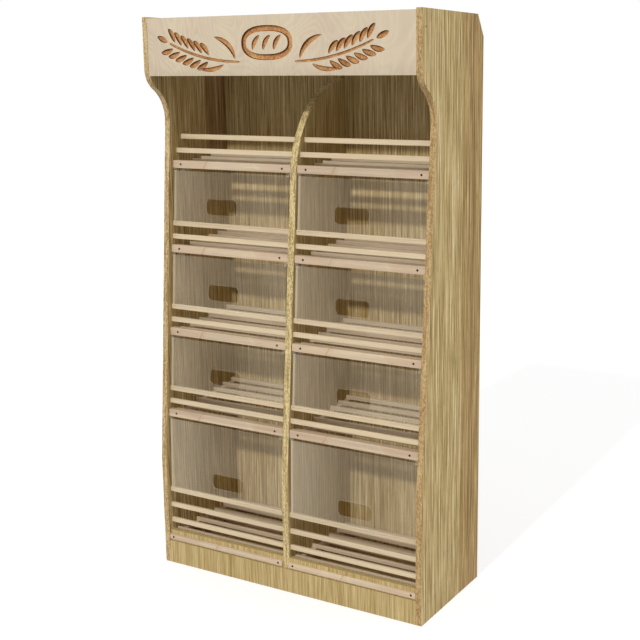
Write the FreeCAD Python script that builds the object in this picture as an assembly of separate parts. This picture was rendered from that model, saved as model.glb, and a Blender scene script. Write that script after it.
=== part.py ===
"""Bakery bread rack: two bays of slatted trays behind hinged clear flaps.

Units are millimetres.  X runs across the rack from its middle plane, Y from
the front plane of the foot towards the wall, Z up from the floor.  save()
moves the finished pieces forward by half the depth, so that the origin of the
exported rack lies under the middle of its footprint.

Levels are numbered from the top: level 1 is the open display tray under the
fascia, levels 2 to 4 are sloping trays behind flaps, and level 5 is the
bottom, where the slats lie level behind an apron.
"""
import FreeCAD, Part
import math
import os

from FreeCAD import Vector

# ---------------------------------------------------------------- carcass
width = 1095.0            # over both side panels
depth = 435.0             # foot front to the back of the back panels
height = 2000.0
side_thickness = 22.0
divider_thickness = 25.0
back_thickness = 14.0
board_thickness = 22.0    # plinths, aprons, base boards and top board

# side panel outline, seen from the side
foot_height = 412.0       # upright part of the front edge
side_lean = 4.48          # degrees, the front edge leans back above the foot
nose_bottom = 1826.0      # the head's front edge is upright above this
nose_radius = 84.0
cove_radius = 122.0
chamfer_depth = 45.0      # cut off the top rear corner
chamfer_drop = 71.5

# centre divider outline
divider_recess = 8.0      # its foot stands behind the side panels' front
divider_foot_height = 422.0
divider_lean = 5.0        # degrees
divider_arc_radius = 350.0
divider_top = 1794.0      # where the arc runs into the back panel

fascia_height = 194.0
fascia_thickness = 18.0
fascia_drop = 5.0         # fascia's top edge below the top of the side panels
plinth_height = 86.0
base_rise = 18.0          # base board above the floor
apron_height = 41.0       # board on edge above the plinth
lath_height = 20.0
lath_thickness = 7.0
lath_rise = 6.0           # lath bottom above the plinth top

# ---------------------------------------------------------------- trays
tray_levels = 4           # sloping trays; the bottom level comes below them
top_tray_height = 1490.5  # middle of the top tray's rail above the floor
tray_pitch = 303.4
tray_slope = 7.0          # degrees, rising to the back
tray_end_gap = 1.5        # rails and slats stop this far short of the panels
rail_height = 28.0
rail_thickness = 22.0
rail_arris = 1.5          # chamfer on the rail's front edges
rail_recess = 2.0         # rail front behind the divider's front line
rail_lip = 11.0           # rail top above the slats
slat_height = 15.0        # slats stand on edge
slat_thickness = 10.0
slat_pitch = 55.5
slat_arris = 1.5          # chamfer on a slat's upper edges
first_slats = (50.0, 47.5, 56.5, 43.5, 35.5)   # behind the divider's front line, by level
bottom_slat_drop = 2.0    # bottom slats below the apron's top edge
block_length = 50.0       # corner block behind each end of a rail
block_depth = 18.0
cleat_width = 18.0
cleat_height = 20.0

# ---------------------------------------------------------------- guard bars
bar_height = 18.0
bar_depth = 11.0
bar_arris = 1.5           # chamfer on a bar's long edges
bar_seat_depth = 8.0      # blind housing in each side panel
bar_recess = 10.0         # bar front behind the divider's front line
guard_first = 43.3        # middle of the first bar above the rail's middle
guard_pitch = 47.2
guard_count = 2
top_guard_recess = 25.5   # the top tray's guard leans back from here
top_guard_pitch = 48.4
top_guard_step = 27.0     # how far back each bar of it stands from the last
bottom_guard_first = 36.0 # middle of the first bar above the apron
bottom_guard_pitch = 60.5
bottom_guard_count = 3

# ---------------------------------------------------------------- flaps
flap_thickness = 3.0
flap_end_gap = 7.0        # between a flap's end and the panel beside it
flap_overlap = 3.5        # flap's lower edge below the bar edge that it rests on
hole_width = 134.0
hole_height = 55.0
hole_round = 16.0
hole_rise = 59.5          # middle of the hand hole above that bar edge
hole_shifts = (-36.0, -20.0, -4.0, 11.0)   # off the bay's middle, levels 2 to 5
clip_width = 9.0
clip_height = 14.0
clip_thickness = 8.0
clip_bevel = 2.6          # off the clip's head, so that it clears the rail as it turns
pivot_recess = 3.0        # pivot behind the divider's front line
pivot_diameter = 5.0
pivot_seat_depth = 8.0
flap_head = 4.2           # flap's top edge below the pivot

# ---------------------------------------------------------------- clearances
seat_clearance = 0.1      # each side of a bar in its housing
pivot_clearance = 0.05    # radial, pivots in their holes
grip_clearance = 0.05     # each side of a flap in its clip
end_clearance = 0.3       # between pieces that must not touch

# ---------------------------------------------------------------- derived
inner_width = width - 2 * side_thickness
bay_width = (inner_width - divider_thickness) / 2
bay_middle = (divider_thickness + bay_width) / 2
tray_length = bay_width - 2 * tray_end_gap
flap_width = bay_width - 2 * flap_end_gap
back_face = depth - back_thickness
apron_top = plinth_height + apron_height
apron_back = lath_thickness + board_thickness
bays = {"left": -bay_middle, "right": bay_middle}
bottom_level = tray_levels + 1
tray_numbers = range(1, bottom_level)
flap_numbers = range(2, bottom_level + 1)


# ================================================================ helpers
def box(x0, x1, y0, y1, z0, z1):
    return Part.makeBox(x1 - x0, y1 - y0, z1 - z0, Vector(x0, y0, z0))


def side_face(edges):
    """A face in the plane x = 0, from edges drawn in (y, z)."""
    return Part.Face(Part.Wire(edges))


def lines(*points):
    """Straight edges through (y, z) points in the plane x = 0."""
    corners = [Vector(0, y, z) for y, z in points]
    return [Part.makeLine(a, b) for a, b in zip(corners, corners[1:])]


def plank(outline, x0, x1):
    """A closed (y, z) outline, given as points, extruded from x0 to x1."""
    face = side_face(lines(*outline, outline[0]))
    face.translate(Vector(x0, 0, 0))
    return face.extrude(Vector(x1 - x0, 0, 0))


def arc(centre, radius, start, end):
    """An arc in (y, z) about centre, between two angles in degrees."""
    def point(angle):
        turn = math.radians(angle)
        return Vector(0, centre[0] + radius * math.cos(turn), centre[1] + radius * math.sin(turn))
    return Part.Arc(point(start), point((start + end) / 2), point(end)).toShape()


def round_bar(diameter, x0, x1, y, z):
    return Part.makeCylinder(diameter / 2, x1 - x0, Vector(x0, y, z), Vector(1, 0, 0))


def eased_box(x0, x1, y0, y1, z0, z1, arris, chosen):
    """A box across the rack, with a chamfer on those long edges that are chosen.

    chosen(y, z) tells for the middle of a long edge whether it is eased.
    """
    bar = box(x0, x1, y0, y1, z0, z1)
    long_edges = [edge for edge in bar.Edges if abs(edge.Length - (x1 - x0)) < 1e-6]
    return bar.makeChamfer(arris, [edge for edge in long_edges
                                   if chosen(edge.CenterOfMass.y, edge.CenterOfMass.z)])


def save(node, *solids):
    """Write one node, moved so that the origin is under the rack's middle."""
    shape = solids[0] if len(solids) == 1 else Part.makeCompound(list(solids))
    shape = shape.copy()
    shape.translate(Vector(0, -depth / 2, 0))
    shape.exportStep(os.path.join("parts", node + ".step"))


def leaning_arc(foot, lean, radius, side, target, reach):
    """Centre of an arc that is tangent to a leaning line.

    The line starts at foot and leans back by lean degrees.  The centre lies at
    radius from it, behind it for side = 1 and before it for side = -1, and at
    reach from target, on the stretch below target.
    """
    turn = math.radians(lean)
    along = (math.sin(turn), math.cos(turn))
    start = (foot[0] + side * radius * along[1], foot[1] - side * radius * along[0])
    gap = (start[0] - target[0], start[1] - target[1])
    across = gap[0] * along[0] + gap[1] * along[1]
    distance = -across - math.sqrt(across ** 2 - gap[0] ** 2 - gap[1] ** 2 + reach ** 2)
    return (start[0] + distance * along[0], start[1] + distance * along[1])


# ================================================================ places
def divider_line(z):
    """Y of the divider's front edge at a height, leaving its arc aside."""
    return divider_recess + max(0.0, z - divider_foot_height) * math.tan(math.radians(divider_lean))


def rail_height_of(level):
    """Height of the middle of a tray's rail."""
    return top_tray_height - (level - 1) * tray_pitch


def rail_front(level):
    return divider_line(rail_height_of(level)) + rail_recess


def rail_back(level):
    return rail_front(level) + rail_thickness


def bar_places(level):
    """(front y, middle z) of the guard bars of a level, from the lowest up."""
    if level == bottom_level:
        heights = [apron_top + bottom_guard_first + n * bottom_guard_pitch
                   for n in range(bottom_guard_count)]
        return [(divider_line(z) + bar_recess, z) for z in heights]
    rail = rail_height_of(level)
    if level == 1:
        first = divider_line(rail) + top_guard_recess
        return [(first + n * top_guard_step, rail + (n + 1) * top_guard_pitch)
                for n in range(guard_count)]
    heights = [rail + guard_first + n * guard_pitch for n in range(guard_count)]
    return [(divider_line(z) + bar_recess, z) for z in heights]


def pivot_place(level):
    """(y, z) of the pivots of a level's flap, close under the rail above."""
    rail = rail_height_of(level - 1)
    return (divider_line(rail) + pivot_recess,
            rail - rail_height / 2 - end_clearance - clip_thickness / 2)


def flap_hang(level):
    """How a level's flap hangs: degrees off plumb, and length below the pivot.

    The flap leans forward from its pivot and rests on the upper front edge of
    the highest guard bar, so its middle plane passes that edge at a known
    distance.
    """
    pivot = pivot_place(level)
    front, middle = bar_places(level)[-1]
    offset = end_clearance + flap_thickness / 2
    back, drop = front - pivot[0], pivot[1] - (middle + bar_height / 2 - bar_arris)
    distance = math.hypot(back, drop)
    lean = math.degrees(math.asin(offset / distance) - math.atan2(back, drop))
    return lean, math.sqrt(distance ** 2 - offset ** 2) + flap_overlap


# ================================================================ carcass
def side_panel_outline():
    """Foot, leaning front edge, cove, rounded nose, head and rear chamfer."""
    nose = (nose_radius, nose_bottom)
    cove = leaning_arc((0, foot_height), side_lean, cove_radius, -1, nose, nose_radius + cove_radius)
    meeting = math.degrees(math.atan2(nose[1] - cove[1], nose[0] - cove[0]))
    cove_edge = arc(cove, cove_radius, -side_lean, meeting)
    nose_edge = arc(nose, nose_radius, 180 + meeting, 180)
    cove_start = cove_edge.Vertexes[0].Point
    return (lines((depth, 0), (0, 0), (0, foot_height), (cove_start.y, cove_start.z))
            + [cove_edge, nose_edge]
            + lines((0, nose_bottom), (0, height), (depth - chamfer_depth, height),
                    (depth, height - chamfer_drop), (depth, 0)))


def divider_outline():
    """Notched foot, leaning front edge and the big arc up to the back panel."""
    foot = (divider_recess, divider_foot_height)
    target = (back_face, divider_top)
    centre = leaning_arc(foot, divider_lean, divider_arc_radius, 1, target, divider_arc_radius)
    top_angle = math.degrees(math.atan2(divider_top - centre[1], back_face - centre[0]))
    edge = arc(centre, divider_arc_radius, 180 - divider_lean, top_angle)
    edge_start = edge.Vertexes[0].Point
    return (lines((back_face, divider_top), (back_face, 0), (board_thickness, 0),
                  (board_thickness, plinth_height), (divider_recess, plinth_height), foot,
                  (edge_start.y, edge_start.z))
            + [edge])


def bar_seats(x0, x1):
    """Cutters for the guard bars of every level, between two values of x."""
    rise = bar_height / 2 + seat_clearance
    return [box(x0, x1, y - seat_clearance, y + bar_depth + seat_clearance, z - rise, z + rise)
            for level in range(1, bottom_level + 1) for y, z in bar_places(level)]


def pivot_seats(x0, x1):
    diameter = pivot_diameter + 2 * pivot_clearance
    return [round_bar(diameter, x0, x1, *pivot_place(level)) for level in flap_numbers]


def make_carcass():
    panel = side_face(side_panel_outline())
    for side, sign in (("left", -1), ("right", 1)):
        inner, outer = sign * inner_width / 2, sign * width / 2
        solid = panel.extrude(Vector(side_thickness, 0, 0))
        solid.translate(Vector(min(inner, outer), 0, 0))
        bar_end, pivot_end = inner + sign * bar_seat_depth, inner + sign * pivot_seat_depth
        seats = bar_seats(min(inner, bar_end), max(inner, bar_end))
        seats += pivot_seats(min(inner, pivot_end), max(inner, pivot_end))
        save("side_panel_" + side, solid.cut(seats))

    half = divider_thickness / 2
    divider = side_face(divider_outline()).extrude(Vector(divider_thickness, 0, 0))
    divider.translate(Vector(-half, 0, 0))
    seats = bar_seats(-half, half)
    seats += pivot_seats(-half, half)
    save("centre_divider", divider.cut(seats))

    for side, x0, x1 in (("left", -inner_width / 2, 0), ("right", 0, inner_width / 2)):
        save("back_panel_" + side, box(x0, x1, back_face, depth, 0, height - chamfer_drop))
        save("plinth_" + side, box(x0, x1, 0, board_thickness, 0, plinth_height))

    half, head = inner_width / 2, height - fascia_drop
    save("top_board", box(-half, half, fascia_thickness, depth - chamfer_depth,
                          head - board_thickness, head))
    save("fascia_board", box(-half, half, 0, fascia_thickness, head - fascia_height, head))

    lath_bottom = plinth_height + lath_rise
    for side, middle in bays.items():
        x0, x1 = middle - bay_width / 2, middle + bay_width / 2
        save("base_board_" + side,
             box(x0, x1, board_thickness, back_face, base_rise, base_rise + board_thickness))
        save("apron_" + side, box(x0, x1, lath_thickness, apron_back, plinth_height, apron_top))
        save("edge_lath_" + side,
             box(middle - tray_length / 2, middle + tray_length / 2, 0, lath_thickness,
                 lath_bottom, lath_bottom + lath_height))


# ================================================================ trays
def slat(middle, y, top):
    """A level slat on edge, with its two upper long edges eased."""
    return eased_box(middle - tray_length / 2, middle + tray_length / 2, y, y + slat_thickness,
                     top - slat_height, top, slat_arris, lambda _, z: z > top - slat_height / 2)


def slats_of(level, middle, tip, slope):
    """The slats of a bay from the front to the back panel.

    Their upper plane passes through the (y, z) point tip and rises by slope
    degrees to the back.
    """
    turn = math.radians(slope)
    line = divider_line(tip[1])
    start = (line + first_slats[level - 1] - tip[0]) / math.cos(turn)
    reach = (back_face - end_clearance - tip[0]) / math.cos(turn) - slat_thickness
    slats = []
    while start <= reach:
        bar = slat(middle, tip[0] + start, tip[1])
        bar.rotate(Vector(0, *tip), Vector(1, 0, 0), slope)
        slats.append(bar)
        start += slat_pitch
    return slats


def slat_plane(level):
    """(y, z) where the slats' upper plane meets the back of the tray's rail."""
    return rail_back(level), rail_height_of(level) + rail_height / 2 - rail_lip


def wall_pieces(middle, length):
    """The x spans of a piece at each wall of a bay that stands out by length."""
    left, right = middle - bay_width / 2, middle + bay_width / 2
    return (left, left + length), (right - length, right)


def corner_block(level, x0, x1):
    """A block in the corner behind a rail and a panel."""
    y0, z0 = slat_plane(level)
    return box(x0, x1, y0, y0 + block_depth, rail_height_of(level) - rail_height / 2, z0)


def cleat(level, x0, x1):
    """A cleat on a panel, under the ends of a tray's slats."""
    y0, z0 = slat_plane(level)
    turn = math.radians(tray_slope)
    front, rear = y0 + block_depth, back_face - end_clearance

    def on_plane(y, below):
        return y, z0 + (y - y0) * math.tan(turn) - below / math.cos(turn)

    under = slat_height + cleat_height
    return plank([on_plane(front, slat_height), on_plane(rear, slat_height),
                  on_plane(rear, under), on_plane(front, under)], x0, x1)


def tray_rail(level, middle):
    front, z = rail_front(level), rail_height_of(level)
    return eased_box(middle - tray_length / 2, middle + tray_length / 2, front, rail_back(level),
                     z - rail_height / 2, z + rail_height / 2, rail_arris,
                     lambda y, _: y < front + rail_thickness / 2)


def make_trays():
    cleats = []
    for level in tray_numbers:
        blocks = []
        for side, middle in bays.items():
            name = "_{}_{}".format(level, side)
            save("tray_rail" + name, tray_rail(level, middle))
            save("tray_slats" + name, *slats_of(level, middle, slat_plane(level), tray_slope))
            blocks += [corner_block(level, *span) for span in wall_pieces(middle, block_length)]
            cleats += [cleat(level, *span) for span in wall_pieces(middle, cleat_width)]
        save("corner_blocks_{}".format(level), *blocks)

    slat_top = apron_top - bottom_slat_drop
    cleat_top = slat_top - slat_height
    for side, middle in bays.items():
        save("bottom_slats_" + side,
             *slats_of(bottom_level, middle, (apron_back, slat_top), 0.0))
        cleats += [box(x0, x1, apron_back, back_face - end_clearance,
                       cleat_top - cleat_height, cleat_top)
                   for x0, x1 in wall_pieces(middle, cleat_width)]
    save("shelf_cleats", *cleats)


# ================================================================ guard bars
def make_guards():
    reach = inner_width / 2 + bar_seat_depth - end_clearance
    for level in range(1, bottom_level + 1):
        save("guard_bars_{}".format(level),
             *[eased_box(-reach, reach, y, y + bar_depth, z - bar_height / 2, z + bar_height / 2,
                         bar_arris, lambda *_: True)
               for y, z in bar_places(level)])


# ================================================================ flaps
def flap_sheet(length, shift, hole_drop):
    """A flat flap below a pivot at the origin, with its hand hole cut out."""
    half = flap_width / 2
    sheet = box(-half, half, -flap_thickness / 2, flap_thickness / 2, -length, -flap_head)
    hole = box(shift - hole_width / 2, shift + hole_width / 2, -flap_thickness, flap_thickness,
               -hole_drop - hole_height / 2, -hole_drop + hole_height / 2)
    across = [edge for edge in hole.Edges if abs(edge.Length - 2 * flap_thickness) < 1e-6]
    return sheet.cut(hole.makeFillet(hole_round, across))


def pivot_clip(sign):
    """A forked clip on a flap's top corner, with its pivot, about the origin."""
    half = clip_thickness / 2
    shoulder, foot = half - clip_bevel, half - clip_height
    outer = sign * flap_width / 2
    inner = outer - sign * clip_width
    clip = plank([(half, foot), (half, shoulder), (shoulder, half), (-shoulder, half),
                  (-half, shoulder), (-half, foot)], min(outer, inner), max(outer, inner))
    grip = flap_thickness / 2 + grip_clearance
    slot = box(-flap_width, flap_width, -grip, grip, -clip_height, grip_clearance - flap_head)
    end = sign * (bay_width / 2 + pivot_seat_depth - end_clearance)
    pivot = round_bar(pivot_diameter, min(inner, end), max(inner, end), 0, 0)
    return clip.cut(slot).fuse(pivot).removeSplitter()


def make_flaps():
    for level, shift in zip(flap_numbers, hole_shifts):
        y, z = pivot_place(level)
        lean, length = flap_hang(level)
        hole_drop = length - flap_overlap - hole_rise
        for side, middle in bays.items():
            pieces = [flap_sheet(length, shift, hole_drop), pivot_clip(-1), pivot_clip(1)]
            for piece in pieces:
                piece.rotate(Vector(0, 0, 0), Vector(1, 0, 0), -lean)
                piece.translate(Vector(middle, y, z))
            name = "_{}_{}".format(level, side)
            save("flap" + name, pieces[0])
            save("flap_clips" + name, pieces[1], pieces[2])


os.makedirs("parts", exist_ok=True)
make_carcass()
make_trays()
make_guards()
make_flaps()
for level in flap_numbers:
    y, z = pivot_place(level)
    lean, length = flap_hang(level)
    print("flap {}: pivot y {:.2f} z {:.2f}, leans {:.2f} degrees, {:.1f} long"
          .format(level, y - depth / 2, z, lean, length))
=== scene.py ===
import math

import bmesh
import bpy
from mathutils import Matrix, Vector
from mathutils.geometry import delaunay_2d_cdt


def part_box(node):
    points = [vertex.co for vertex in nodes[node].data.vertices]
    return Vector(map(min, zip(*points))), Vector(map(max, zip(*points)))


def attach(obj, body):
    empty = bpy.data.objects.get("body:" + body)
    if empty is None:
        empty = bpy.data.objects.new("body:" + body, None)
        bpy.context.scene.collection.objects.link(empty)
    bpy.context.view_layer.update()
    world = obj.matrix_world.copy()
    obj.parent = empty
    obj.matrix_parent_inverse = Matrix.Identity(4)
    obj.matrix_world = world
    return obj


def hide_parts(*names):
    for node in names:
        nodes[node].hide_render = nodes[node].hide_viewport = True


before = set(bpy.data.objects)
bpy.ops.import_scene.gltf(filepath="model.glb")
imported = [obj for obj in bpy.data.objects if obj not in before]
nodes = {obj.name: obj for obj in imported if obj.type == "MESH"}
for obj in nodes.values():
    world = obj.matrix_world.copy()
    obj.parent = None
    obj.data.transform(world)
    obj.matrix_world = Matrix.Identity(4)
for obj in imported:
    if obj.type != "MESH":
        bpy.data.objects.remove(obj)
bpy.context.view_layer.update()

# Sizes of the rack, in mm. Places in the materials below are in metres.
MM = 0.001
HALF_DEPTH = 217.5        # from the front plane to the origin
BAY_MIDDLE = 269.0
BAYS = {"left": -BAY_MIDDLE, "right": BAY_MIDDLE}
BAY_LEFT = 525.5          # inner face of the left side panel, left of the middle
BAY_STEP = 538.0          # from the start of one bay to the start of the next
RAIL_LEVELS = (1, 2, 3, 4)
RAIL_MIDDLE = 1490.5      # height of the top rails' middle
RAIL_PITCH = 303.4        # from one level to the next
RAIL_SCREW = 220.5        # off the bay's middle
LATH_SCREW = 238.0        # off the bay's middle
SIDE_SCREW = (22.2, 1945.0)    # from the front plane and from the floor
SCREW_RADIUS = 4.0
SIDE_SCREW_RADIUS = 3.0
ARRIS = 0.6               # how wide the broken edges of boards are
ARRIS_STEPS, ARRIS_ANGLE = 2, 40    # its faces, and the least angle in degrees
SEAM = 1e-5               # m, how far apart a node's points may be and be one
EASED = ("plinth", "apron", "base_board", "top_board", "tray_rail", "edge_lath",
         "corner_blocks")


# ============================================================ camera and light
# Lengths are in metres and angles in degrees, where nothing else is said.
IMAGE = 640.0             # pixels
SENSOR = 36.0             # mm
FOCAL_PIXELS = 1111.69
PRINCIPAL = (407.15, 300.0)    # the pixel that lies straight ahead
CAMERA_PLACE = (2.15008, -3.24213, 1.78516)
CAMERA_YAW, CAMERA_PITCH, CAMERA_ROLL = 28.70, 11.17, 0.05
CAMERA_NEAR, CAMERA_FAR = 0.05, 60.0

SUNS = (                  # name, strength, azimuth, elevation and softness
    ("key", 1.55, 0.0, 32.0, 3.0),
    ("side_right", 0.85, 100.0, 18.0, 40.0),
    ("side_left", 0.45, -110.0, 25.0, 40.0))
SUN_DISTANCE = 6.0
WORLD_LIGHT = 0.62        # on the object
WORLD_SEEN = 1.0          # in the picture, in gloss and through glass
FLOOR_HALF = 30.0
FLOOR_DROP = 0.0005
FLOOR_TONE = 0.5
FLOOR_GLOW = 0.6          # added where the floor is seen


bpy.context.scene.view_settings.view_transform = "Standard"


def make_camera():
    """The photo's viewing angle, with the frame shifted a little."""
    data = bpy.data.cameras.new("camera")
    data.sensor_width = SENSOR
    data.lens = FOCAL_PIXELS / IMAGE * SENSOR
    data.shift_x = (IMAGE / 2 - PRINCIPAL[0]) / IMAGE
    data.shift_y = (PRINCIPAL[1] - IMAGE / 2) / IMAGE
    data.clip_start, data.clip_end = CAMERA_NEAR, CAMERA_FAR
    camera = bpy.data.objects.new("camera", data)
    bpy.context.scene.collection.objects.link(camera)
    yaw, pitch, roll = (math.radians(a) for a in (CAMERA_YAW, CAMERA_PITCH, CAMERA_ROLL))
    forward = Vector((-math.sin(yaw) * math.cos(pitch), math.cos(yaw) * math.cos(pitch),
                      -math.sin(pitch)))
    level = Vector((math.cos(yaw), math.sin(yaw), 0.0))
    down = forward.cross(level)
    right = level * math.cos(roll) + down * math.sin(roll)
    up = level * math.sin(roll) - down * math.cos(roll)
    turn = Matrix((right, up, -forward)).transposed()
    camera.matrix_world = Matrix.Translation(Vector(CAMERA_PLACE)) @ turn.to_4x4()
    bpy.context.scene.camera = camera


def make_sun(name, strength, azimuth, elevation, softness):
    """A far lamp. Azimuth 0 shines from the front, 90 from the right."""
    data = bpy.data.lights.new(name, "SUN")
    data.energy = strength
    data.angle = math.radians(softness)
    lamp = bpy.data.objects.new(name, data)
    bpy.context.scene.collection.objects.link(lamp)
    a, e = math.radians(azimuth), math.radians(elevation)
    source = Vector((math.sin(a) * math.cos(e), -math.cos(a) * math.cos(e), math.sin(e)))
    lamp.rotation_euler = source.to_track_quat("Z", "Y").to_euler()
    lamp.location = source * SUN_DISTANCE


def seen_by(tree, *others):
    """A socket that is 1 for camera rays and the other named rays, else 0."""
    path = tree.nodes.new("ShaderNodeLightPath")
    seen = path.outputs["Is Camera Ray"]
    for name in others:
        either = tree.nodes.new("ShaderNodeMath")
        either.operation = "MAXIMUM"
        tree.links.new(seen, either.inputs[0])
        tree.links.new(path.outputs[name], either.inputs[1])
        seen = either.outputs[0]
    return seen


def scaled(tree, socket, low, high):
    """A socket's 0 to 1 as low to high."""
    level = tree.nodes.new("ShaderNodeMapRange")
    level.inputs["To Min"].default_value = low
    level.inputs["To Max"].default_value = high
    tree.links.new(socket, level.inputs["Value"])
    return level.outputs["Result"]


def make_world():
    """Plain soft light, and a whiter background for the camera, gloss and glass."""
    world = bpy.data.worlds.new("studio")
    world.use_nodes = True
    bpy.context.scene.world = world
    tree = world.node_tree
    background = tree.nodes["Background"]
    background.inputs["Color"].default_value = (1.0, 1.0, 1.0, 1.0)
    seen = seen_by(tree, "Is Glossy Ray", "Is Transmission Ray")
    tree.links.new(scaled(tree, seen, WORLD_LIGHT, WORLD_SEEN),
                   background.inputs["Strength"])


def make_floor():
    """A plain floor that shows paler than it lights the object, but keeps shadows."""
    mesh = bpy.data.meshes.new("floor")
    corners = [(x * FLOOR_HALF, y * FLOOR_HALF, 0)
               for x, y in ((-1, -1), (1, -1), (1, 1), (-1, 1))]
    mesh.from_pydata(corners, [], [(0, 1, 2, 3)])
    floor = bpy.data.objects.new("floor", mesh)
    floor.location.z = -FLOOR_DROP
    bpy.context.scene.collection.objects.link(floor)
    material = bpy.data.materials.new("floor_pale")
    material.use_nodes = True
    tree = material.node_tree
    tree.nodes.clear()
    diffuse = tree.nodes.new("ShaderNodeBsdfDiffuse")
    diffuse.inputs["Color"].default_value = (FLOOR_TONE, FLOOR_TONE, FLOOR_TONE, 1.0)
    glow = tree.nodes.new("ShaderNodeEmission")
    seen = seen_by(tree, "Is Glossy Ray")
    tree.links.new(scaled(tree, seen, 0.0, FLOOR_GLOW), glow.inputs["Strength"])
    both = tree.nodes.new("ShaderNodeAddShader")
    tree.links.new(diffuse.outputs[0], both.inputs[0])
    tree.links.new(glow.outputs[0], both.inputs[1])
    out = tree.nodes.new("ShaderNodeOutputMaterial")
    tree.links.new(both.outputs[0], out.inputs["Surface"])
    mesh.materials.append(material)


# ============================================================ shader helpers
class Shader:
    """A material under construction: its nodes are added and linked by calls."""

    def __init__(self, name):
        self.material = bpy.data.materials.new(name)
        self.material.use_nodes = True
        self.tree = self.material.node_tree
        self.bsdf = self.tree.nodes["Principled BSDF"]

    def put(self, socket, value):
        """Links a socket to another, or sets its number."""
        if isinstance(value, bpy.types.NodeSocket):
            self.tree.links.new(value, socket)
        elif value is not None:
            socket.default_value = value

    def surface(self, **inputs):
        """Sets the surface's inputs, whose names are written with underscores."""
        for name, value in inputs.items():
            self.put(self.bsdf.inputs[name.replace("_", " ")], value)

    def node(self, kind, inputs=(), **settings):
        made = self.tree.nodes.new("ShaderNode" + kind)
        for name, value in settings.items():
            setattr(made, name, value)
        for key, value in dict(inputs).items():
            self.put(made.inputs[key], value)
        return made

    def math(self, operation, a, b=None, c=None, clamp=False):
        made = self.node("Math", operation=operation, use_clamp=clamp)
        for socket, value in zip(made.inputs, (a, b, c)):
            self.put(socket, value)
        return made.outputs[0]

    def plus(self, a, b):
        return self.math("ADD", a, b)

    def minus(self, a, b):
        return self.math("SUBTRACT", a, b)

    def times(self, a, b):
        return self.math("MULTIPLY", a, b)

    def absolute(self, a):
        return self.math("ABSOLUTE", a)

    def sway(self, noise, reach):
        """Noise as a shift of up to half of reach each way."""
        return self.times(self.minus(noise, 0.5), reach)

    def place(self):
        return self.node("TexCoord").outputs["Object"]

    def part(self, vector, axis):
        return self.node("SeparateXYZ", {0: vector}).outputs[axis]

    def facing(self, axis):
        """How far the surface faces along one of the object's axes, -1 to 1."""
        return self.part(self.node("TexCoord").outputs["Normal"], axis)

    def join(self, x, y, z):
        return self.node("CombineXYZ", {"X": x, "Y": y, "Z": z}).outputs[0]

    def stretch(self, place, scale, shift=(0.0, 0.0, 0.0)):
        return self.node("Mapping", {"Vector": place, "Scale": scale,
                                     "Location": shift}).outputs[0]

    def noise(self, place, scale=1.0, detail=2.0, roughness=0.5, distortion=0.0):
        return self.node("TexNoise", {"Vector": place, "Scale": scale, "Detail": detail,
                                      "Roughness": roughness,
                                      "Distortion": distortion}).outputs["Fac"]

    def ramp(self, value, *stops):
        made = self.node("ValToRGB", {"Fac": value})
        elements = made.color_ramp.elements
        while len(elements) < len(stops):
            elements.new(0.5)
        for element, (place, colour) in zip(elements, stops):
            element.position = place
            element.color = (*colour, 1.0)
        return made.outputs["Color"]

    def mix(self, factor, a, b, blend="MIX"):
        made = self.node("Mix", data_type="RGBA", blend_type=blend)
        self.put(made.inputs[0], factor)
        self.put(made.inputs[6], (*a, 1.0) if isinstance(a, tuple) else a)
        self.put(made.inputs[7], (*b, 1.0) if isinstance(b, tuple) else b)
        return made.outputs[2]

    def rgb(self, red, green, blue):
        return self.node("CombineColor", {0: red, 1: green, 2: blue}).outputs[0]

    def grey(self, level):
        return self.rgb(level, level, level)

    def product(self, colour, by):
        return self.mix(1.0, colour, by, "MULTIPLY")

    def tint(self, colour, by, share):
        """A colour multiplied by another, as far as share says."""
        return self.mix(share, colour, self.product(colour, by))

    def span(self, value, low, high, to_low=0.0, to_high=1.0):
        """A value's low to high as to_low to to_high, and level beyond them."""
        return self.node("MapRange", {"Value": value, "From Min": low, "From Max": high,
                                      "To Min": to_low, "To Max": to_high}).outputs[0]

    def vary(self, noise, low, high):
        """Noise as low to high: nearly all of it lies from 0.3 to 0.7."""
        return self.span(noise, 0.3, 0.7, low, high)

    def in_bay(self, place):
        """How far right of its bay's left wall a point lies, in metres."""
        return self.math("WRAP", self.plus(self.part(place, "X"), BAY_LEFT * MM),
                         BAY_STEP * MM, 0.0)

    def off_rail(self, place):
        """How far above the middle of its level's rail a point lies, in metres."""
        half = RAIL_PITCH * MM / 2
        return self.math("WRAP", self.plus(self.part(place, "Z"), -RAIL_MIDDLE * MM),
                         half, -half)

    def bump(self, height, strength, distance):
        made = self.node("Bump", {"Height": height, "Strength": strength,
                                  "Distance": distance})
        self.put(self.bsdf.inputs["Normal"], made.outputs[0])


# ============================================================ oak-decor board
# Scales of noise are in cells per metre, across and along the grain.
OAK_TONES = ((0.497, 0.363, 0.156), (0.518, 0.386, 0.172))
OAK_WANDER = (3.0, 1.6)         # slow bends of the grain
OAK_BENDS = 0.012               # their width, in metres
OAK_BANDS = (24.0, 0.6)         # broad bands between the two tones
STREAKS_ALONG = 2.6
STREAK_DEPTH = 0.38
FLECKS_ACROSS, FLECKS_ALONG = 2.0, 4.5       # across in streaks, along in cells per metre
FLECK_DEPTH = 0.90
PORES_ACROSS, PORES_ALONG = 3.2, 24.0
PORE_DEPTH = 0.40
OAK_DARKEST = 0.2               # of its tone
OAK_RED, OAK_BLUE = 0.83, 1.6   # powers with which red and blue follow the grain
EDGE_SPECKS, EDGE_SPECK_SHARE = (230.0, 120.0, 110.0), 0.65
EDGE_RUNS, EDGE_RUN_SHARE = (140.0, 20.0, 9.0), 0.35

# The left panel has painted shade: a darker strip, inside only, at the rear of its head.
SHADE_START = (0.078, 0.088)    # y where it sets in
SHADE_FOOT = (1.42, 1.56)       # z where it sets in
INWARD = (0.5, 0.9)             # how far its inner face has to face along x
SHADE_TINT = (0.68, 0.60, 0.57)

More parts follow.
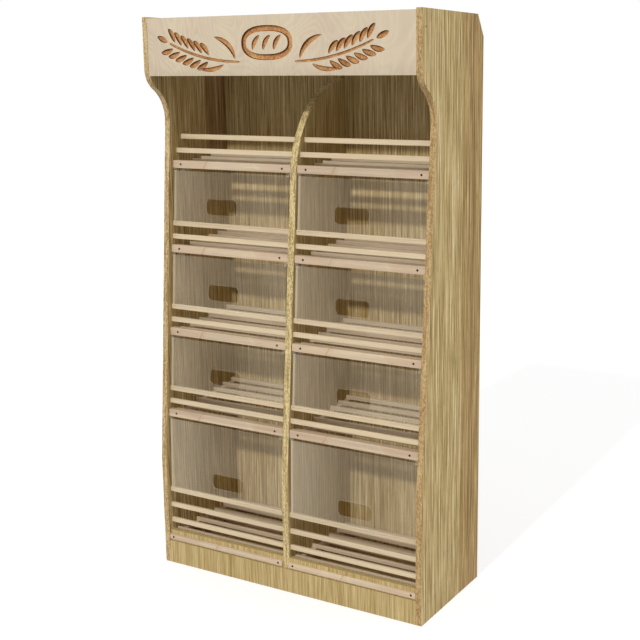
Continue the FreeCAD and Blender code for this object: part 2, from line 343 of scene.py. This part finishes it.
# The right panel is browner towards the rear, with a dark band in it.
DECOR_TINT = (1.0, 0.985, 0.90)
REAR_START = (0.063, 0.070)
REAR_TINT = (0.79, 0.700, 0.550)
BAND_MIDDLE = 0.1475
BAND_FADE = (0.018, 0.008)      # off its middle, from where it ends to full strength
BAND_TINT = (0.80, 0.73, 0.68)


def oak_edge(s, spot, shift, dark, light):
    """The speckled edge strip, for the faces that don't look sideways."""
    specks = s.noise(s.stretch(spot, EDGE_SPECKS, shift), detail=3.0, roughness=0.7)
    runs = s.noise(s.stretch(spot, EDGE_RUNS, shift), detail=2.0)
    mixed = s.plus(s.times(specks, EDGE_SPECK_SHARE), s.times(runs, EDGE_RUN_SHARE))
    return s.mix(s.span(mixed, 0.42, 0.58), dark, light)


def oak_painted_shade(s, spot, colour):
    """The left panel's darker strip: painted shade."""
    behind = s.span(s.part(spot, "Y"), *SHADE_START)
    above = s.span(s.part(spot, "Z"), *SHADE_FOOT)
    inward = s.span(s.facing("X"), *INWARD)
    return s.tint(colour, SHADE_TINT, s.times(behind, s.times(above, inward)))


def oak_decor(s, spot, colour):
    """The right panel's browner rear and its dark band."""
    colour = s.product(colour, DECOR_TINT)
    y = s.part(spot, "Y")
    colour = s.tint(colour, REAR_TINT, s.span(y, *REAR_START))
    off = s.absolute(s.minus(y, BAND_MIDDLE))
    return s.tint(colour, BAND_TINT, s.span(off, *BAND_FADE))


def oak(name, shift, level=1.0, across=180.0, depth=1.0, edge=None, figure=None,
        lying=False):
    """Oak-decor board with upright grain: fine streaks, flecks and dark pores.

    level is the board's lightness, across the number of streaks per metre and
    depth their strength. edge has the (dark, light) colours of the faces that
    don't look sideways, and figure is a function that adds the board's own
    figure, or painted shade. The grain of a lying board runs along x.
    """
    s = Shader(name)
    spot = s.place()
    if lying:
        spot = s.join(s.part(spot, "Z"), s.part(spot, "Y"), s.part(spot, "X"))

    def grain(place, wide, tall, detail=1.0, roughness=0.5):
        return s.noise(s.stretch(place, (wide, wide, tall), shift), detail=detail,
                       roughness=roughness)

    bend = s.sway(grain(spot, *OAK_WANDER), OAK_BENDS)
    moved = s.node("VectorMath", {0: spot, 1: s.join(bend, bend, 0.0)},
                   operation="ADD").outputs[0]
    bands = grain(moved, *OAK_BANDS)
    streaks = grain(moved, across, STREAKS_ALONG)
    flecks = grain(moved, across * FLECKS_ACROSS, FLECKS_ALONG, 2.0, 0.6)
    pores = grain(moved, across * PORES_ACROSS, PORES_ALONG)
    light = s.span(streaks, 0.25, 0.75, 1.0 - STREAK_DEPTH * depth,
                   1.0 + STREAK_DEPTH * depth)
    fine = s.span(flecks, 0.28, 0.72, 1.0 - FLECK_DEPTH * depth,
                  1.0 + FLECK_DEPTH * depth)
    pore = s.span(pores, 0.30, 0.42, 1.0 - PORE_DEPTH * depth, 1.0)
    grey = s.math("MAXIMUM", OAK_DARKEST, s.times(s.times(light, fine),
                                                  s.times(pore, level)))
    colour = s.product(s.mix(s.span(bands, 0.35, 0.65), *OAK_TONES),
                       s.rgb(s.math("POWER", grey, OAK_RED), grey,
                             s.math("POWER", grey, OAK_BLUE)))
    if figure:
        colour = figure(s, spot, colour)
    if edge:
        forward = s.span(s.absolute(s.facing("X")), 0.65, 0.45)
        colour = s.mix(forward, colour, oak_edge(s, spot, shift, *edge))
    s.surface(Base_Color=colour, Roughness=s.vary(streaks, 0.64, 0.50),
              Specular_IOR_Level=0.3)
    s.bump(s.plus(streaks, s.times(pore, 0.6)), strength=0.25, distance=0.0006)
    return s.material


# ============================================================ other materials
RAIL_CREAM = ((0.140, 0.160), (0.400, 0.370))    # places in the bay where it starts, ends
RAIL_CREAM_EDGE = 0.05                           # how ragged its ends are
RAIL_ROSY_TINT = (1.0, 0.965, 0.935)
RAIL_CREAM_TINT = (1.04, 1.05, 1.03)
RAIL_FIGURES = (          # place in the bay, slope, half width (m), tint and strength
    (0.146, 0.60, 0.0050, (0.84, 0.72, 0.64), 0.9),
    (0.158, 0.60, 0.0060, (0.97, 0.90, 0.86), 0.7),
    (0.369, -0.90, 0.0070, (1.05, 1.07, 1.08), 0.8))
RAIL_FIGURE_SWAY = 0.012


def rail_figure(s, spot, colour, lines, broad):
    """What the rails show in each bay: a rosier left end, a small slanting knot
    and a faint cross figure further on."""
    bay = s.in_bay(spot)
    start, end = RAIL_CREAM
    ragged = s.plus(bay, s.sway(broad, RAIL_CREAM_EDGE))
    colour = s.mix(s.times(s.span(ragged, *start), s.span(ragged, *end)),
                   s.product(colour, RAIL_ROSY_TINT), s.product(colour, RAIL_CREAM_TINT))
    height = s.off_rail(spot)
    for place, slope, width, tint, strength in RAIL_FIGURES:
        off = s.absolute(s.minus(s.minus(bay, place), s.times(height, slope)))
        off = s.plus(off, s.sway(lines, RAIL_FIGURE_SWAY))
        colour = s.tint(colour, tint, s.times(s.span(off, width, width * 0.3), strength))
    return colour


def pale_wood(name, light, dark, shift=(0.0, 0.0, 0.0), strength=1.0, rail=False):
    """Light close-grained wood, with growth lines and fibres that run along x.

    strength is how far the growth lines go from light to dark.
    """
    s = Shader(name)
    spot = s.place()
    lines = s.noise(s.stretch(spot, (1.4, 60.0, 60.0), shift), detail=3.0, roughness=0.6,
                    distortion=0.4)
    fibres = s.noise(s.stretch(spot, (14.0, 420.0, 420.0), shift), detail=2.0)
    broad = s.noise(s.stretch(spot, (1.1, 11.0, 11.0), shift), detail=1.0)
    share = s.math("MULTIPLY", s.span(lines, 0.36, 0.66), strength, clamp=True)
    level = s.times(s.vary(fibres, 0.91, 1.07), s.vary(broad, 0.92, 1.07))
    colour = s.product(s.mix(share, light, dark), s.grey(level))
    if rail:
        colour = rail_figure(s, spot, colour, lines, broad)
    s.surface(Base_Color=colour, Roughness=s.vary(lines, 0.60, 0.50),
              Specular_IOR_Level=0.35)
    s.bump(s.plus(lines, s.times(fibres, 0.4)), strength=0.18, distance=0.0004)
    return s.material


BIRCH_TONES = ((0.675, 0.553, 0.402), (0.650, 0.548, 0.390))
BIRCH_LINES = 150.0       # contour lines, as radians over the noise's range
BIRCH_LINE_DEPTH = 0.050
BIRCH_FOOT_SHADE = (1.806, 1.850, 0.90, 1.0)    # painted shade at the foot: z from, z to, and the levels there


def birch(name):
    """Birch veneer with a faint flowing figure, like the contour lines of a map, and painted
    shade that darkens its foot.
    """
    s = Shader(name)
    spot = s.place()
    hills = s.noise(s.stretch(spot, (7.0, 7.0, 3.2), (1.3, 4.4, 9.2)), detail=1.0,
                    distortion=0.6)
    contours = s.math("SINE", s.times(hills, BIRCH_LINES))
    patches = s.noise(s.stretch(spot, (9.0, 9.0, 5.0)), detail=2.0)
    fibres = s.noise(s.stretch(spot, (420.0, 420.0, 16.0)), detail=2.0)
    cloud = s.vary(s.noise(s.stretch(spot, (4.0, 4.0, 2.0)), detail=1.0), 0.4, 1.0)
    level = s.plus(s.times(s.times(contours, BIRCH_LINE_DEPTH), cloud),
                   s.times(s.vary(patches, 0.93, 1.05), s.vary(fibres, 0.965, 1.025)))
    # Painted shade: the board darkens towards its foot.
    level = s.times(level, s.span(s.part(spot, "Z"), *BIRCH_FOOT_SHADE))
    tone = s.mix(s.span(patches, 0.35, 0.65), *BIRCH_TONES)
    s.surface(Base_Color=s.product(tone, s.grey(level)),
              Roughness=s.vary(patches, 0.56, 0.48), Specular_IOR_Level=0.35)
    s.bump(fibres, strength=0.12, distance=0.0003)
    return s.material


CARVED_STOPS = ((0.0, (0.29, 0.11, 0.032)), (0.45, (0.54, 0.245, 0.080)),
                (1.0, (0.76, 0.44, 0.19)))
WALL_BURN_AND_SHADE_TINT = (0.26, 0.19, 0.16)


def carved_wood(name):
    """Routed wood: an orange-brown, speckled floor between darker walls, whose tint is painted
    shade of the grooves as well as cutter burn.
    """
    s = Shader(name)
    spot = s.place()
    specks = s.noise(spot, 190.0, detail=4.0, roughness=0.75)
    broad = s.noise(s.stretch(spot, (26.0, 26.0, 14.0)), detail=2.0)
    mixed = s.plus(s.times(specks, 0.7), s.times(broad, 0.3))
    colour = s.ramp(s.span(mixed, 0.36, 0.64), *CARVED_STOPS)
    # Painted shade together with burn: the groove walls are darkened by how far they turn from
    # the face.
    wall_burn_and_shade = s.span(s.absolute(s.facing("Y")), 0.93, 0.55)
    s.surface(Base_Color=s.tint(colour, WALL_BURN_AND_SHADE_TINT, wall_burn_and_shade), Roughness=0.72,
              Specular_IOR_Level=0.2)
    s.bump(specks, strength=0.5, distance=0.0006)
    return s.material


# The first colour is the warm whitish tint of the flaps' painted reflection, the second their
# cut edges.
SHEET_REFLECTION, SHEET_EDGE = (0.87, 0.755, 0.555), (0.84, 0.79, 0.68)
SHEET_IOR = 1.49
EDGE_ALPHA = 0.45
# The flaps' painted reflection, a whitish veil: places in the bay from and to, in metres, and
# the alpha there.
REFLECTION_LEFT = (0.02, 0.20, 0.112, 0.056)
REFLECTION_RIGHT = (0.28, 0.50, 0.0, 0.026)
REFLECTION_LOW_LEFT = (0.05, 0.30, 0.055, 0.0)    # added on the lowest flap
LOWEST_FLAP = (0.60, 0.55)                  # z above and below its top edge
REFLECTION_RIM = (0.013, 0.017, 0.20, 0.0)
REFLECTION_CLOUD = (-0.012, 0.016)                # alpha added by its clouds


def acrylic(name):
    """Clear sheet with a warm whitish veil of painted reflection, stronger towards its ends,
    and pale cut edges.
    """
    s = Shader(name)
    spot = s.place()
    edge = s.span(s.absolute(s.facing("Y")), 0.90, 0.60)
    bay = s.in_bay(spot)
    # The alpha of the whitish tint is painted reflection, varied by place in the bay and by
    # clouds.
    cloud = s.noise(spot, 6.0, detail=2.0)
    moved = s.plus(bay, s.sway(cloud, 0.10))
    painted_reflection = s.plus(s.span(moved, *REFLECTION_LEFT), s.span(moved, *REFLECTION_RIGHT))
    painted_reflection = s.plus(painted_reflection, s.times(s.span(s.part(spot, "Z"), *LOWEST_FLAP),
                                s.span(moved, *REFLECTION_LOW_LEFT)))
    painted_reflection = s.plus(s.plus(painted_reflection, s.span(bay, *REFLECTION_RIM)), s.vary(cloud, *REFLECTION_CLOUD))
    s.surface(Alpha=s.math("MAXIMUM", painted_reflection, s.times(edge, EDGE_ALPHA)),
              Base_Color=s.mix(edge, SHEET_REFLECTION, SHEET_EDGE),
              Roughness=s.span(edge, 0.0, 1.0, 0.06, 0.28), IOR=SHEET_IOR)
    return s.material


def clip_plastic(name):
    """Translucent moulded plastic."""
    s = Shader(name)
    grain = s.noise(s.place(), 900.0, detail=2.0)
    s.surface(Base_Color=s.mix(grain, (0.62, 0.57, 0.48), (0.74, 0.69, 0.60)),
              Alpha=s.vary(grain, 0.11, 0.17), Roughness=0.3)
    s.bump(grain, strength=0.1, distance=0.0002)
    return s.material


def black_steel(name, low, high):
    """Dull black screw steel, between two levels of grey."""
    s = Shader(name)
    brushed = s.noise(s.stretch(s.place(), (2600.0, 2600.0, 300.0)), detail=2.0)
    s.surface(Base_Color=s.mix(brushed, (low,) * 3, (high,) * 3),
              Roughness=s.vary(brushed, 0.45, 0.6), Specular_IOR_Level=0.04)
    return s.material


# The left panel's figure is painted shade at the rear of its head, on the inner face.
OAK_LEFT = oak("oak_left", (0.0, 0.0, 0.0), depth=0.90, figure=oak_painted_shade,
               edge=((0.29, 0.165, 0.058), (0.66, 0.500, 0.255)))
OAK_RIGHT = oak("oak_right", (2.6, 1.3, 0.9), depth=1.05, figure=oak_decor,
                edge=((0.31, 0.175, 0.062), (0.59, 0.420, 0.195)))
OAK_DIVIDER = oak("oak_divider", (5.9, 3.1, 2.2), across=200.0, depth=0.75,
                  edge=((0.30, 0.205, 0.075), (0.78, 0.620, 0.310)))
OAK_BACK = oak("oak_back", (3.1, 0.7, 0.2), level=1.02, across=210.0, depth=0.88)
OAK_PLINTH = oak("oak_plinth", (7.7, 1.9, 4.3), level=0.98, across=200.0, depth=0.5)
OAK_LYING = oak("oak_plain", (0.4, 5.2, 1.1), depth=0.8, lying=True)
WOOD_RAIL = pale_wood("light_wood_rail", (0.660, 0.525, 0.370), (0.535, 0.410, 0.285),
                      rail=True)
WOOD_SLAT = pale_wood("light_wood_slat", (0.65, 0.525, 0.365), (0.56, 0.435, 0.290),
                      (2.2, 8.1, 3.3))
WOOD_BAR = pale_wood("light_wood_bar", (0.73, 0.595, 0.395), (0.63, 0.490, 0.310),
                     (5.1, 2.8, 6.4), strength=0.8)
BIRCH = birch("birch_ply")
CARVED = carved_wood("birch_carved")
CLEAR = acrylic("clear_acrylic")
CLIP = clip_plastic("clip_plastic")
SCREW = black_steel("screw_head", 0.004, 0.010)
# Painted shade: the cross recess is a near-flush face in darker steel.
RECESS_SHADE = black_steel("screw_recess_shade", 0.002, 0.004)

# The first row that a node's name starts with gives its material.
MATERIALS = (("side_panel_left", OAK_LEFT), ("side_panel_right", OAK_RIGHT),
             ("centre_divider", OAK_DIVIDER), ("back_panel", OAK_BACK),
             ("plinth", OAK_PLINTH), ("apron", OAK_PLINTH), ("base_board", OAK_LYING),
             ("top_board", OAK_LYING), ("fascia", BIRCH), ("tray_rail", WOOD_RAIL),
             ("edge_lath", WOOD_RAIL), ("guard_bars", WOOD_BAR), ("flap_clips", CLIP),
             ("flap", CLEAR), ("", WOOD_SLAT))


def dress(name):
    """Gives a CAD node its material."""
    material = next(material for start, material in MATERIALS if name.startswith(start))
    slots = nodes[name].data.materials
    if not len(slots):
        slots.append(material)
    for n in range(len(slots)):
        slots[n] = material


def ease(name):
    """Breaks the sharp arrises of a board, for the light to catch."""
    weld = nodes[name].modifiers.new("weld", "WELD")
    weld.merge_threshold = SEAM
    bevel = nodes[name].modifiers.new("arris", "BEVEL")
    bevel.width, bevel.segments = ARRIS * MM, ARRIS_STEPS
    bevel.limit_method, bevel.angle_limit = "ANGLE", math.radians(ARRIS_ANGLE)


# ============================================================ the routed ornament
# In mm on the fascia's face, from its middle height and the ornament's middle, and
# for the ears of wheat outwards.
ORNAMENT_MIDDLE = -25.0   # off the rack's middle
SECTION = (               # across a stroke: shares of its half width and of its depth
    (-1.0, 0.0), (-0.88, 0.82), (-0.74, 1.0), (0.74, 1.0), (0.88, 0.82), (1.0, 0.0))
STROKE = (19.0, 8.5)      # width and depth
LEAF_STROKE = (15.0, 6.0)
CUT_STROKE = (17.0, 6.0)
STEM_STROKE = (9.0, 4.0, 0.12)      # and how bluntly it ends
STEM = ((108, -52), (262, -52), (404, 12))
STEM_POINTS = 61
UPPER_LEAF = ((128, -44), (142, 14), (214, 30))
LOWER_LEAF = ((176, -60), (214, -84), (280, -74))
FIRST_GRAIN, GRAIN_STEP = 26, 6    # points along the stem
GRAIN_TURN = 36           # degrees off the stem
GRAIN_LENGTH = 54.0
GRAIN_ROOT = 11.0         # off the stem
GRAIN_BELLY = (21.0, 25.0)    # from its root, along the stem and off it
END_GRAIN = (9, 34, 58)   # along the stem, past its end
LOAF_HALF, LOAF_MIDDLE = (92, 46), 8
LOAF_POWERS = (0.8, 0.85)     # below 1, they square an ellipse
LOAF_POINTS = 64
CUTS = (-42, 0, 42)       # places of the cuts across the crust
CUT = ((-14, -15), (-12, 14), (15, 32))
SHORT_POINTS, LEAF_POINTS = 13, 17
SAME_SPOT = 1e-6          # mm, between points in the plane
SAME_CORNER = 2e-6        # m, between the board's points


class Groove:
    """A routed stroke along a path in the plane of the fascia."""

    def __init__(self, path, width, depth, blunt=0.6, closed=False):
        self.path = [Vector(p) for p in path]
        self.depth, self.closed = depth, closed
        self.reach = width / 2
        count = len(self.path)
        last = count - 1
        self.half, self.normal = [], []
        for n in range(count):
            share = 1.0 if closed else max(0.0, math.sin(math.pi * n / last)) ** blunt
            self.half.append(self.reach * share)
            if closed:
                before, after = self.path[n - 1], self.path[(n + 1) % count]
            else:
                before, after = self.path[max(n - 1, 0)], self.path[min(n + 1, last)]
            way = (after - before).normalized()
            self.normal.append(Vector((-way.y, way.x)))

    def point(self, n, side):
        return self.path[n] + self.normal[n] * self.half[n] * side

    def loops(self):
        """Its outlines: one, or the outer and the inner one of a closed stroke."""
        count = len(self.path)
        if self.closed:
            return [[self.point(n, side) for n in range(count)] for side in (1.0, -1.0)]
        return [[self.point(n, 1.0) for n in range(count)]
                + [self.point(n, -1.0) for n in range(count - 2, 0, -1)]]

    def holds(self, spot):
        return sum(inside(spot, loop) for loop in self.loops()) % 2 == 1

    def fill(self, builder, place):
        """Adds the stroke's walls and floor."""
        rows = []
        for n in range(len(self.path)):
            deep = self.depth * self.half[n] / self.reach
            rows.append([builder.verts.new(place(self.point(n, side), deep * share))
                         for side, share in SECTION])
        pairs = list(zip(rows, rows[1:])) + ([(rows[-1], rows[0])] if self.closed else [])
        for a, b in pairs:
            for k in range(len(SECTION) - 1):
                face = builder.faces.new((a[k], a[k + 1], b[k + 1], b[k]))
                face.material_index = 1
                face.smooth = True


def inside(spot, loop):
    """Whether a point lies in a closed outline."""
    found = False
    for a, b in zip(loop, loop[1:] + loop[:1]):
        if (a.y > spot.y) != (b.y > spot.y):
            if spot.x < a.x + (spot.y - a.y) / (b.y - a.y) * (b.x - a.x):
                found = not found
    return found


def curve(a, b, c, count):
    """Points on a quadratic curve from a to c, pulled towards b."""
    a, b, c = Vector(a), Vector(b), Vector(c)
    return [a * (1 - t) ** 2 + b * 2 * t * (1 - t) + c * t * t
            for t in (n / (count - 1) for n in range(count))]


def wheat_ear(middle, sign):
    """Strokes of an ear of wheat that lies along the board, tip outwards."""
    def spots(points):
        return [(middle + sign * u, v) for u, v in points]

    stem = curve(*spots(STEM), STEM_POINTS)
    strokes = [Groove(stem, *STEM_STROKE),
               Groove(curve(*spots(UPPER_LEAF), LEAF_POINTS), *STROKE),
               Groove(curve(*spots(LOWER_LEAF), LEAF_POINTS), *LEAF_STROKE)]
    turn = math.radians(GRAIN_TURN)
    for n in range(FIRST_GRAIN, STEM_POINTS, GRAIN_STEP):
        way = (stem[min(n + 1, STEM_POINTS - 1)] - stem[n - 1]).normalized()
        across = Vector((-way.y, way.x))
        for side in (-1, 1):
            lead = way * math.cos(turn) + across * side * math.sin(turn)
            root = stem[n] + across * side * GRAIN_ROOT
            tip = root + lead * GRAIN_LENGTH
            ahead, aside = GRAIN_BELLY
            bend = root + way * ahead + across * side * aside
            strokes.append(Groove(curve(root, bend, tip, SHORT_POINTS), *STROKE))
    way = (stem[-1] - stem[-2]).normalized()
    strokes.append(Groove(curve(*(stem[-1] + way * past for past in END_GRAIN),
                                SHORT_POINTS), *STROKE))
    return strokes


def loaf(middle):
    """Strokes of a loaf: its outline and three cuts across the crust."""
    ring = []
    for n in range(LOAF_POINTS):
        a = 2 * math.pi * n / LOAF_POINTS
        u, v = (half * math.copysign(abs(way) ** power, way) for half, power, way
                in zip(LOAF_HALF, LOAF_POWERS, (math.cos(a), math.sin(a))))
        ring.append((middle + u, LOAF_MIDDLE + v))
    cuts = [Groove(curve(*((middle + shift + u, v) for u, v in CUT), SHORT_POINTS),
                   *CUT_STROKE) for shift in CUTS]
    return [Groove(ring, *STROKE, closed=True)] + cuts


def add_piece(name, builder, materials, body="root"):
    """A new object that rides on a body, from a finished bmesh."""
    mesh = bpy.data.meshes.new(name)
    builder.to_mesh(mesh)
    builder.free()
    for material in materials:
        mesh.materials.append(material)
    piece = bpy.data.objects.new(name, mesh)
    bpy.context.scene.collection.objects.link(piece)
    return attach(piece, body)


def add_front(builder, place, outline, strokes):
    """The board's front face, open where the strokes are."""
    points, edges = [], []
    for loop in [outline] + [loop for stroke in strokes for loop in stroke.loops()]:
        first = len(points)
        points += loop
        edges += [(first + n, first + (n + 1) % len(loop)) for n in range(len(loop))]
    spots, _, triangles, _, _, _ = delaunay_2d_cdt(points, edges, [], 0, SAME_SPOT)
    front = [builder.verts.new(place(spot, 0.0)) for spot in spots]
    for triangle in triangles:
        middle = sum((spots[n] for n in triangle), Vector((0.0, 0.0))) / 3
        if not any(stroke.holds(middle) for stroke in strokes):
            builder.faces.new([front[n] for n in triangle])


def add_sides(builder, place, outline, thick):
    """The board's four edges and its rear face."""
    rims = [(builder.verts.new(place(corner, 0.0)), builder.verts.new(place(corner, thick)))
            for corner in outline]
    for n in range(4):
        (a, b), (c, d) = rims[n], rims[(n + 1) % 4]
        builder.faces.new((a, c, d, b))
    builder.faces.new([rear for _, rear in rims])


def make_fascia():
    """The fascia board with a routed ornament: a loaf between two ears of wheat."""
    low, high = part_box("fascia_board")
    centre = (low.z + high.z) / 2

    def place(spot, deep):
        return Vector((spot.x * MM, low.y + deep * MM, centre + spot.y * MM))

    left, right, half = low.x / MM, high.x / MM, (high.z - low.z) / 2 / MM
    outline = [Vector(c) for c in ((left, -half), (right, -half), (right, half), (left, half))]
    strokes = loaf(ORNAMENT_MIDDLE)
    for sign in (-1, 1):
        strokes += wheat_ear(ORNAMENT_MIDDLE, sign)

    builder = bmesh.new()
    add_front(builder, place, outline, strokes)
    for stroke in strokes:
        stroke.fill(builder, place)
    add_sides(builder, place, outline, (high.y - low.y) / MM)
    bmesh.ops.remove_doubles(builder, verts=builder.verts, dist=SAME_CORNER)
    bmesh.ops.recalc_face_normals(builder, faces=builder.faces)
    for edge in builder.edges:
        if len({face.material_index for face in edge.link_faces}) > 1:
            edge.smooth = False
    board = add_piece("fascia_carved", builder, (BIRCH, CARVED))
    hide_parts("fascia_board")


# ============================================================ screws
SCREW_SIDES = 16
SHOULDER_IN, SHOULDER_OUT = 0.25, 0.06    # the head's rounded rim
CROSS_LONG, CROSS_SHORT, CROSS_OUT = 2.0, 0.75, 0.05


def add_screw(builder, place, outward, radius=SCREW_RADIUS):
    """A flush screw head with a cross, facing along outward: the cross lies almost flush, and
    its darker steel is painted shade of a recess.
    """
    outward = Vector(outward)
    across = Vector((0.0, 0.0, 1.0)).cross(outward).normalized()
    up = outward.cross(across)

    def ring(sizes, out):
        made = []
        for n in range(SCREW_SIDES):
            a = 2 * math.pi * n / SCREW_SIDES
            way = across * math.cos(a) + up * math.sin(a)
            made.append(builder.verts.new(Vector(place) + outward * out * MM
                                          + way * sizes[n % len(sizes)] * MM))
        return made

    outer = ring((radius,), 0.0)
    shoulder = ring((radius - SHOULDER_IN,), SHOULDER_OUT)
    cross = ring((CROSS_LONG, CROSS_SHORT, CROSS_SHORT, CROSS_SHORT), CROSS_OUT)
    for a, b in ((outer, shoulder), (shoulder, cross)):
        for n in range(SCREW_SIDES):
            m = (n + 1) % SCREW_SIDES
            builder.faces.new((a[n], a[m], b[m], b[n]))
    builder.faces.new(cross).material_index = 1


def add_front_screws(name, boards, off):
    """A screw at off mm each side of the bay's middle, in each (board, bay)."""
    builder = bmesh.new()
    for board, side in boards:
        low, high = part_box(board)
        for sign in (-1, 1):
            add_screw(builder, ((BAYS[side] + sign * off) * MM, low.y,
                                (low.z + high.z) / 2), (0, -1, 0))
    add_piece(name, builder, (SCREW, RECESS_SHADE))


def make_screws():
    """The screws of the rails, the edge laths and the side panels."""
    add_front_screws("screws_rails", [("tray_rail_{}_{}".format(level, side), side)
                                      for level in RAIL_LEVELS for side in BAYS], RAIL_SCREW)
    add_front_screws("screws_laths", [("edge_lath_" + side, side) for side in BAYS],
                     LATH_SCREW)
    builder = bmesh.new()
    y, z = (SIDE_SCREW[0] - HALF_DEPTH) * MM, SIDE_SCREW[1] * MM
    for side, sign in (("left", -1), ("right", 1)):
        low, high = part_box("side_panel_" + side)
        add_screw(builder, (low.x if sign < 0 else high.x, y, z), (sign, 0, 0),
                  SIDE_SCREW_RADIUS)
    add_piece("screws_sides", builder, (SCREW, RECESS_SHADE))


for name in nodes:
    dress(name)
    if name.startswith(EASED):
        ease(name)

make_fascia()
make_screws()

make_camera()
for lamp in SUNS:
    make_sun(*lamp)
make_world()
make_floor()
